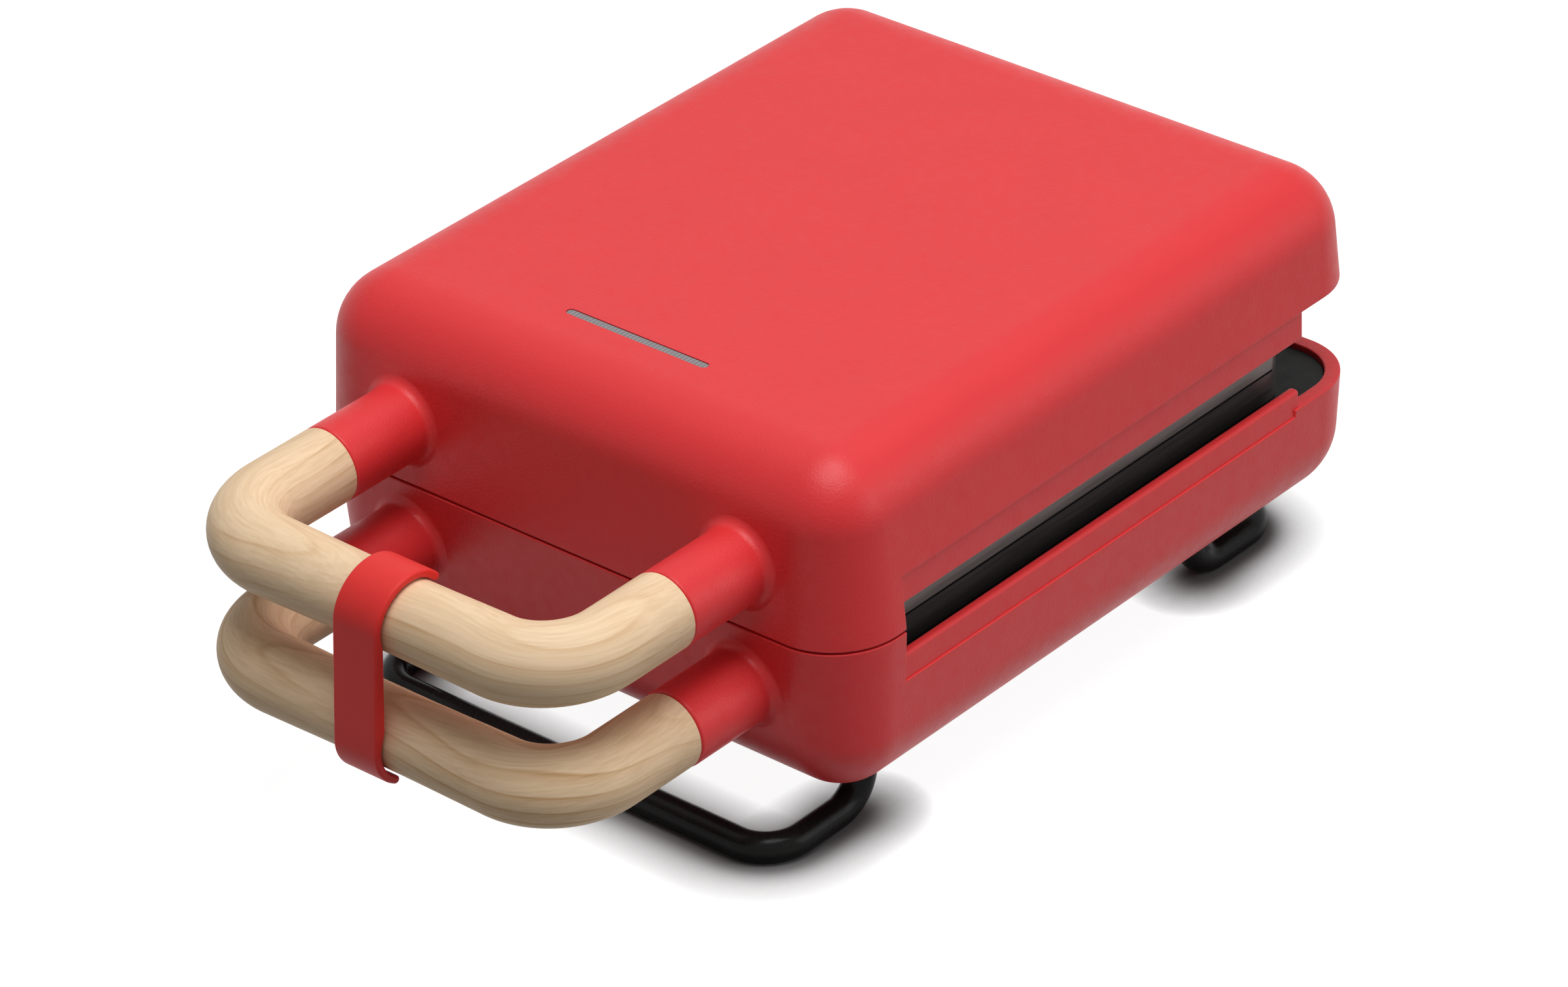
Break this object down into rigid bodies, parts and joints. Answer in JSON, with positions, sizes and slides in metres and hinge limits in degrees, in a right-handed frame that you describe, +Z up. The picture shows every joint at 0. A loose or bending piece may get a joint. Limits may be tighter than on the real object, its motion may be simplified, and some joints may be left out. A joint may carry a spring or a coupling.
{
  "type": "taiyaki maker",
  "caption": "Countertop press that bakes fish-shaped cakes between hinged plates, with wooden loop handles, wire legs and a clip that holds it shut.",
  "frame": {"origin": "on the worktop, at the middle of the overall length and width", "axes": "+X to the right seen from the handles, +Y from the handles towards the hinge, +Z up; the lid is closed and clipped"},
  "size_m": [0.14, 0.2262, 0.0869],
  "materials": {
    "red_plastic": "satin with a fine moulded grain",
    "red_silicone": "smooth matt silicone",
    "pale_wood": "pale turned and bent wood, thin clear lacquer",
    "black_rod": "gloss black powder coat on steel rod",
    "black_plastic": "matt heat-resistant plastic",
    "black_casting": "black coated die casting",
    "coated_plate": "black non-stick coat on cast aluminium",
    "heater_steel": "oxidised steel sheath",
    "sheet_steel": "plain sheet steel",
    "screw_steel": "zinc-plated steel",
    "tan_plastic": "phenolic",
    "white_plastic": "heat-resistant insulation",
    "lamp_window": "translucent grey, satin",
    "green_board": "circuit board"
  },
  "bodies": {
    "base": {"base_shell": "red_plastic", "base_frame": "black_plastic", "cord_gland": "black_plastic", "lower_plate": "coated_plate", "lower_heater": "heater_steel", "lower_reflector": "sheet_steel", "lower_thermostat": "tan_plastic", "thermal_fuse": "sheet_steel", "terminal_block": "white_plastic", "base_leads": "white_plastic", "front_leg": "black_rod", "rear_leg": "black_rod", "leg_clamps": "sheet_steel", "leg_nuts": "sheet_steel", "base_handle": "pale_wood", "base_handle_screws": "screw_steel", "lower_plate_screws": "screw_steel", "hinge_bracket": "black_casting", "hinge_bracket_screws": "screw_steel", "hinge_pin": "screw_steel"},
    "lid": {"lid_shell": "red_plastic", "lid_frame": "black_plastic", "upper_plate": "coated_plate", "upper_heater": "heater_steel", "upper_reflector": "sheet_steel", "upper_thermostat": "tan_plastic", "lid_handle": "pale_wood", "lid_handle_screws": "screw_steel", "upper_plate_screws": "screw_steel", "hinge_arms": "black_casting", "hinge_arm_screws": "screw_steel", "indicator_lens": "lamp_window", "indicator_board": "green_board", "indicator_board_screws": "screw_steel"},
    "clip": {"latch_clip": "red_silicone"}
  },
  "joints": [
    {"name": "lid_hinge", "type": "hinge", "parent": "base", "child": "lid", "pos_m": [0, 0.1026, 0.0502], "axis": [-1, 0, 0], "range_deg": [0, 100]},
    {"name": "clip_swing", "type": "hinge", "parent": "lid", "child": "clip", "pos_m": [0.0022, -0.1028, 0.06345], "axis": [-1, 0, 0], "range_deg": [0, 120]}
  ]
}
